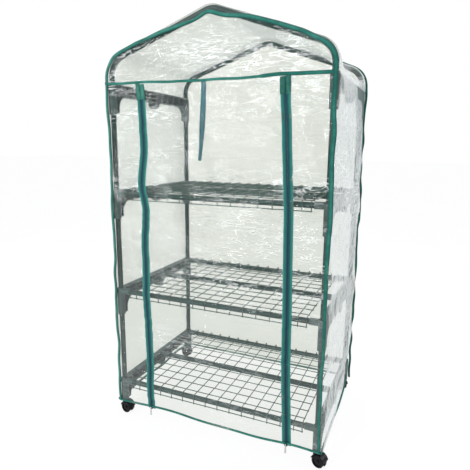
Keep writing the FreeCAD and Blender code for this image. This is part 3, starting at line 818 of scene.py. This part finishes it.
def front_film():
    """Gable and both front strips: one sheet around the door opening."""
    parts = [
        front_grid(front_edge_x(-1), beside_zip("left", -ZIP_GAP), level(SEAM_Z)),
        front_grid(beside_zip("right", ZIP_GAP), front_edge_x(1), level(SEAM_Z)),
        gable_grid(),
    ]
    vertices, faces = [], []
    for x, z in parts:
        relief = front_relief(x, z)
        top = smooth((roof_edge_z(FRONT_EDGE, x) - z) / 0.02)
        y = FRONT_Y - relief * np.where(z > SEAM_Z, top, 1)
        faces += grid_faces(*x.shape, start=sum(len(v) for v in vertices))
        vertices.append(np.stack([x, y, z], axis=2).reshape(-1, 3))
    piece = mesh_object("film_front", np.concatenate(vertices), faces, FILM_FRONT)
    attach(piece, "frame")
    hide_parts("cover_gable", "cover_front_left", "cover_front_right")
    return piece


def door_film():
    """The door panel between the zips, up to the hinge line under the seam."""
    x, z = front_grid(beside_zip("left", ZIP_GAP), beside_zip("right", -ZIP_GAP), level(DOOR_TOP))
    y = FRONT_Y - front_relief(x, z) * smooth((DOOR_TOP - z) / 0.03)
    vertices = np.stack([x, y, z], axis=2).reshape(-1, 3)
    piece = mesh_object("film_door", vertices, grid_faces(*x.shape), FILM_FRONT)
    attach(piece, "door")
    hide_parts("door_panel")
    return piece


def back_film():
    """The back panel, one sheet from hem to ridge."""
    columns = round(2 * WALL_X / GRID)
    rows = round((RIDGE_Z - HEM_Z) / GRID)
    u = np.linspace(-1, 1, columns + 1)[None, :]
    t = np.linspace(0, 1, rows + 1)[:, None]
    half = float(wall_edge_x(REAR_EDGE, 1, SEAM_Z))
    x = u * half * np.ones_like(t)
    z = HEM_Z + (roof_edge_z(REAR_EDGE, x) - HEM_Z) * t
    edge = wall_edge_x(REAR_EDGE, 1, np.minimum(z, SEAM_Z)) / half
    x = x * edge * (1 - low_corner_tuck(z, 1.0) / half)
    relief = 1.5 * film_relief(x, z, 83, 2.3)
    relief += 3.5 * MM * creases(x, z, 0.16, 87, 2.4, 0.5) * smooth((z - 0.75) / 0.2)
    fade = smooth((1 - np.abs(u)) / 0.06) * smooth((1 - t) / 0.03)
    y = REAR_Y + np.clip(relief, -1.8 * MM, 8 * MM) * fade
    vertices = np.stack([x, y, z], axis=2).reshape(-1, 3)
    piece = mesh_object("film_back", vertices, grid_faces(*x.shape), FILM_BACK)
    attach(piece, "frame")
    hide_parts("cover_back")
    return piece


# ---- bindings
def edge_binding(name, edge, rear):
    """Tape folded over the film's edge, up one side, over the roof and down the other."""
    waver = 0.8 * MM * field(ALONG, ALONG * 0, 0.09, 91 + int(rear))
    if rear:
        # The rear tape stands outside the film, so it is seen beside the wall, not through it.
        path = edge + NORMALS * 3.2 * MM
        y = REAR_Y + 1.2 * MM + waver
        facing, lean = 1.0, 0.45
        width = np.full(len(path), REAR_BINDING_W)
    else:
        path = edge - NORMALS * (BINDING_W * 0.36)
        y = FRONT_Y - 1.2 * MM - waver
        facing, lean = -1.0, 0.35
        # On the right the front tape is rolled narrower towards the foot.
        foot = (1 - smooth((path[:, 1] - 0.30) / 0.45)) * (path[:, 0] > 0)
        width = BINDING_W - 4.5 * MM * foot
    points = np.stack([path[:, 0], y, path[:, 1]], axis=1)
    out = np.stack([lean * NORMALS[:, 0], np.full(len(path), facing), lean * NORMALS[:, 1]], axis=1)
    piece = ribbon(name, points, out, width, BINDING_T, BINDING)
    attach(piece, "frame")
    return piece


def seam_binding():
    """The seam over the door, thin in the middle where it sags and wider towards its right end."""
    ends = [float(wall_edge_x(FRONT_EDGE, side, SEAM_Z)) for side in (-1, 1)]
    x = np.linspace(*ends, 120)
    sag = smooth((x + 0.20) / 0.10) * smooth((0.20 - x) / 0.13)
    z = SEAM_Z + 1.8 * MM - 3.6 * MM * sag + 0.6 * MM * field(x, x * 0, 0.12, 97)
    points = np.stack([x, np.full_like(x, FRONT_Y - 1.6 * MM), z], axis=1)
    width = np.where(x > 0.15, 9.5, 7.0) * MM
    piece = ribbon("binding_seam", points, np.tile([0, -1.0, 0], (len(x), 1)), width, 2.0 * MM, BINDING)
    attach(piece, "frame")
    return piece


def front_hem(x_from, x_to, count):
    """Path of a hem tape on the front face."""
    x = np.linspace(x_from, x_to, count)
    return np.stack([x, np.full_like(x, FRONT_Y - 1.4 * MM), hem_z(x) + 3 * MM], axis=1)


def wall_hem(side):
    """Path of the hem tape on one wall, following the film's foot."""
    y = np.linspace(FRONT_Y, REAR_Y, 70)
    tuck = low_corner_tuck(HEM_Z, (y - FRONT_Y) / (REAR_Y - FRONT_Y))
    x = side * (WALL_X + 1.2 * MM - tuck)
    return np.stack([x, y, HEM_Z + 3 * MM + wall_hem_waver(y)], axis=1)


def back_hem():
    """Path of the hem tape on the back, between the drawn-in corners."""
    x = np.linspace(-WALL_X + LOW_CORNER_TUCK, WALL_X - LOW_CORNER_TUCK, 90)
    return np.stack([x, np.full_like(x, REAR_Y + 1.4 * MM), np.full_like(x, HEM_Z + 3 * MM)], axis=1)


def hem_bindings():
    """Hem tape around the cover's foot, with a piece of its own on the door."""
    low_l = float(wall_edge_x(FRONT_EDGE, -1, HEM_Z))
    low_r = float(wall_edge_x(FRONT_EDGE, 1, HEM_Z))
    zip_l, zip_r = float(zip_x("left", HEM_Z)), float(zip_x("right", HEM_Z))
    beside = 3 * MM
    runs = {
        "hem_front_left": ("frame", front_hem(low_l, zip_l - beside, 20), (0, -1, 0)),
        "hem_front_right": ("frame", front_hem(zip_r + beside, low_r, 20), (0, -1, 0)),
        "hem_door": ("door", front_hem(zip_l + beside, zip_r - beside, 70), (0, -1, 0)),
        "hem_wall_left": ("frame", wall_hem(-1), (-1, 0, 0)),
        "hem_wall_right": ("frame", wall_hem(1), (1, 0, 0)),
        "hem_back": ("frame", back_hem(), (0, 1, 0)),
    }
    made = {}
    for name, (body, points, out) in runs.items():
        thickness = WALL_HEM_T if name.startswith("hem_wall") else BINDING_T
        piece = ribbon(name, points, np.tile(np.array(out, float), (2, 1)), HEM_W, thickness, BINDING)
        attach(piece, body)
        made[name] = piece
    return made


# ---- zips
def zip_half(name, side, away, body):
    """Half of a zip's tape: from the chain out to its bound edge, following the wavering zip line."""
    z = np.arange(HEM_Z - 1 * MM, DOOR_TOP - 2 * MM, 4 * MM)
    places = np.array([0.4, 4.2, 5.2, 8.0, 10.5, 13.0, 13.5]) * MM
    heights = np.array([1.7, 1.7, 1.1, 1.0, 1.5, 1.4, 0.5]) * MM
    centre = zip_x(side, z)[:, None]
    x = centre + away * places[None, :]
    zz = np.broadcast_to(z[:, None], x.shape)
    relief = front_relief(centre, z[:, None])
    ripple = 0.5 * MM * field(z, z * 0, 0.03, 103)[:, None] * (places / ZIP_HALF_W)[None, :]
    front = FRONT_Y - relief - heights[None, :] - ripple
    back = np.broadcast_to(FRONT_Y - relief - 0.3 * MM, x.shape)
    outer = np.stack([x, front, zz], axis=2)
    inner = np.stack([x, back, zz], axis=2)[:, ::-1]
    ring = 2 * len(places)
    vertices = np.concatenate([outer, inner], axis=1).reshape(-1, 3)
    faces = tube_faces(len(z), ring)
    if away < 0:
        faces = [face[::-1] for face in faces]
    piece = mesh_object(name, vertices, faces, ZIP_TAPE)
    share = places / ZIP_HALF_W
    point_attribute(piece, "from_chain", np.tile(np.concatenate([share, share[::-1]]), len(z)))
    point_attribute(piece, "along", np.repeat(z, ring))
    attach(piece, body)
    return piece


def zip_teeth(name, body, halves):
    """One row of small moulded teeth on each tape half, set alternately so that the rows interleave."""
    pitch = 3.0 * MM
    reach, thick, deep = 2.6 * MM, 1.1 * MM, 2.2 * MM
    vertices, faces = [], []
    corner = np.array([(a, b, c) for a in (0, 1) for b in (0, 1) for c in (0, 1)], float)
    box_faces = [(0, 1, 3, 2), (4, 6, 7, 5), (0, 4, 5, 1), (2, 3, 7, 6), (0, 2, 6, 4), (1, 5, 7, 3)]
    for side, away, shift in halves:
        for z in np.arange(HEM_Z + 6 * MM + shift * pitch, DOOR_TOP - 12 * MM, pitch):
            centre = float(zip_x(side, z))
            relief = float(front_relief(np.array([centre]), np.array([z]))[0])
            near = centre - away * 0.7 * MM
            x = near + away * corner[:, 0] * reach
            y = FRONT_Y - relief - 2.2 * MM + corner[:, 1] * deep
            zz = z - thick / 2 + corner[:, 2] * thick
            start = len(vertices) * 8
            vertices.append(np.stack([x, y, zz], axis=1))
            faces += [tuple(start + k for k in (f if away < 0 else f[::-1])) for f in box_faces]
    piece = mesh_object(name, np.concatenate(vertices), faces, TEETH, smooth_faces=False)
    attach(piece, body)
    return piece


def zip_patches():
    """Cloth patches over both zip heads, split along the chain so that the door half opens."""
    for side, away, body in ZIP_HALVES:
        head = SEAM_Z if body == "frame" else DOOR_TOP - 0.2 * MM
        z = np.linspace(SEAM_Z - PATCH_LENGTH, head, 24)
        x = zip_x(side, z) + away * 7.2 * MM
        y = FRONT_Y - front_relief(x, z) - 2.9 * MM - 0.4 * MM * field(x, z, 0.02, 107)
        points = np.stack([x, y, z], axis=1)
        out = np.tile([0, -1.0, 0], (2, 1))
        name = f"zip_patch_{side}_{body}"
        piece = ribbon(name, points, out, PATCH_HALF_W, 1.0 * MM, PATCH, dome=0.6)
        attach(piece, body)


def make_zips():
    """Tapes, teeth and patches of both zips, each half riding on its own side of the chain."""
    cover = [zip_half("zip_tape_left_cover", "left", -1, "frame"),
             zip_half("zip_tape_right_cover", "right", 1, "frame")]
    door = [zip_half("zip_tape_left_door", "left", 1, "door"),
            zip_half("zip_tape_right_door", "right", -1, "door")]
    for piece in cover:
        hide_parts("cover_zip_tapes")
    for piece in door:
        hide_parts("door_zip_tapes")
    zip_teeth("zip_teeth_cover", "frame", [("left", -1, 0.0), ("right", 1, 0.0)])
    zip_teeth("zip_teeth_door", "door", [("left", 1, 0.5), ("right", -1, 0.5)])
    zip_patches()


# ---- tie strap
def tie_strap():
    """A folded webbing strap hanging inside the door below the seam, turning slightly as it falls."""
    t = np.linspace(0, 1, 60)
    top_x, end_x = strap_high.x - 8 * MM, strap_low.x + 4.5 * MM
    x = top_x + (end_x - top_x) * t**1.3
    z = strap_high.z + 3 * MM + (strap_low.z - strap_high.z - 3 * MM) * t
    y = (strap_low.y + strap_high.y) / 2 + 3.5 * MM * np.sin(math.pi * t) * t
    turn = 0.95 * smooth((t - 0.12) / 0.7)
    out = np.stack([np.sin(turn), -np.cos(turn), 0 * t], axis=1)
    width = STRAP_W - 5.0 * MM * smooth((t - 0.5) / 0.5)
    points = np.stack([x, y, z], axis=1)
    piece = ribbon("tie_strap_webbing", points, out, width, 1.3 * MM, STRAP, dome=0.2)
    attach(piece, "frame")
    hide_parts("tie_strap")


# ---- stage, light and camera
def make_stage():
    """A pale floor, bright enough by itself to meet the white background."""
    floor_material, tree, output = new_material("pale_floor")
    shader = principled(tree, output, 0.9)
    tone = ramp(tree, noise(tree, 3, 2), [(0.3, (0.095, 0.095, 0.095)), (0.7, (0.105, 0.105, 0.105))])
    tree.links.new(tone, shader.inputs["Base Color"])
    shader.inputs["Specular IOR Level"].default_value = 0.0
    shader.inputs["Emission Color"].default_value = (1, 1, 1, 1)
    shader.inputs["Emission Strength"].default_value = FLOOR_GLOW
    corners = [(x * FLOOR_HALF, y * FLOOR_HALF, 0) for x, y in ((-1, -1), (1, -1), (1, 1), (-1, 1))]
    floor = mesh_object("floor", corners, [(0, 1, 2, 3)], floor_material)


def area_light(name, place, target, size, energy):
    """A softbox that looks at its target and can't be seen by the camera."""
    light = bpy.data.lights.new(name, "AREA")
    light.shape = "RECTANGLE"
    light.size, light.size_y = size
    light.energy = energy
    lamp = bpy.data.objects.new(name, light)
    lamp.location = place
    lamp.rotation_euler = (Vector(target) - Vector(place)).to_track_quat("-Z", "Y").to_euler()
    lamp.visible_camera = False
    bpy.context.scene.collection.objects.link(lamp)


def make_world():
    """White to the camera; to everything else a studio that is brighter above than at its sides."""
    world = bpy.data.worlds.new("studio")
    bpy.context.scene.world = world
    world.use_nodes = True
    tree = world.node_tree
    tree.nodes.clear()
    output = tree.nodes.new("ShaderNodeOutputWorld")
    seen = node(tree, "ShaderNodeBackground")
    seen.inputs["Color"].default_value = (1, 1, 1, 1)
    around = node(tree, "ShaderNodeBackground")
    around.inputs["Strength"].default_value = WORLD_STRENGTH
    ray = node(tree, "ShaderNodeTexCoord").outputs["Generated"]
    split = node(tree, "ShaderNodeSeparateXYZ")
    tree.links.new(ray, split.inputs[0])
    # Darker behind the camera, which the front film mirrors, and bright behind and above the object.
    depthwise = arithmetic(tree, "MULTIPLY", split.outputs["Y"], 0.32)
    upward = arithmetic(tree, "MULTIPLY", split.outputs["Z"], 0.42)
    place = arithmetic(tree, "ADD", arithmetic(tree, "ADD", depthwise, upward), 0.45)
    height = ramp(
        tree,
        place,
        [(0.05, (0.30, 0.31, 0.33)), (0.35, (0.32, 0.35, 0.38)), (0.55, (0.46, 0.51, 0.56)),
         (0.74, (0.58, 0.65, 0.72)), (0.86, (1.45, 1.45, 1.42))],
    )
    tree.links.new(height, around.inputs["Color"])
    pick = node(tree, "ShaderNodeMixShader")
    path = node(tree, "ShaderNodeLightPath")
    tree.links.new(path.outputs["Is Camera Ray"], pick.inputs["Fac"])
    tree.links.new(around.outputs[0], pick.inputs[1])
    tree.links.new(seen.outputs[0], pick.inputs[2])
    tree.links.new(pick.outputs[0], output.inputs["Surface"])


def make_lights():
    """The studio: its surroundings and five softboxes."""
    make_world()
    middle = (0, 0, 0.7)
    area_light("key_softbox", (-1.9, -2.6, 2.6), middle, (1.2, 1.2), 24)
    area_light("glare_softbox", (-0.95, -3.1, 1.75), (0.1, 0, 1.0), (0.5, 0.45), 40)
    area_light("low_softbox", (-1.7, -3.0, 0.45), (0, 0, 0.5), (0.3, 1.1), 30)
    area_light("side_softbox", (2.6, 1.5, 1.5), middle, (0.5, 1.6), 22)
    area_light("top_softbox", (0.3, 0.2, 3.2), middle, (1.6, 1.2), 12)


def make_camera():
    """The camera stands to the right of the door, a little above half height, looking slightly down."""
    ahead = Vector(CAMERA_AHEAD).normalized()
    right = ahead.cross(Vector((0, 0, 1))).normalized()
    up = right.cross(ahead)
    cos, sin = math.cos(CAMERA_ROLL), math.sin(CAMERA_ROLL)
    right, up = right * cos + up * sin, up * cos - right * sin
    data = bpy.data.cameras.new("camera")
    data.sensor_width = CAMERA_SENSOR
    data.lens = CAMERA_LENS
    camera = bpy.data.objects.new("camera", data)
    matrix = Matrix((right, up, -ahead)).transposed().to_4x4()
    matrix.translation = Vector(CAMERA_PLACE)
    camera.matrix_world = matrix
    bpy.context.scene.collection.objects.link(camera)
    bpy.context.scene.camera = camera


# ---- build
make_camera()
make_lights()
make_stage()
finish_cad_nodes()

walls_and_roof = wrap_film()
front = front_film()
door = door_film()
back = back_film()
front_binding = edge_binding("binding_front_edge", FRONT_EDGE, False)
rear_binding = edge_binding("binding_rear_edge", REAR_EDGE, True)
seam = seam_binding()
hems = hem_bindings()
make_zips()
tie_strap()

bpy.context.scene.view_settings.view_transform = "Standard"
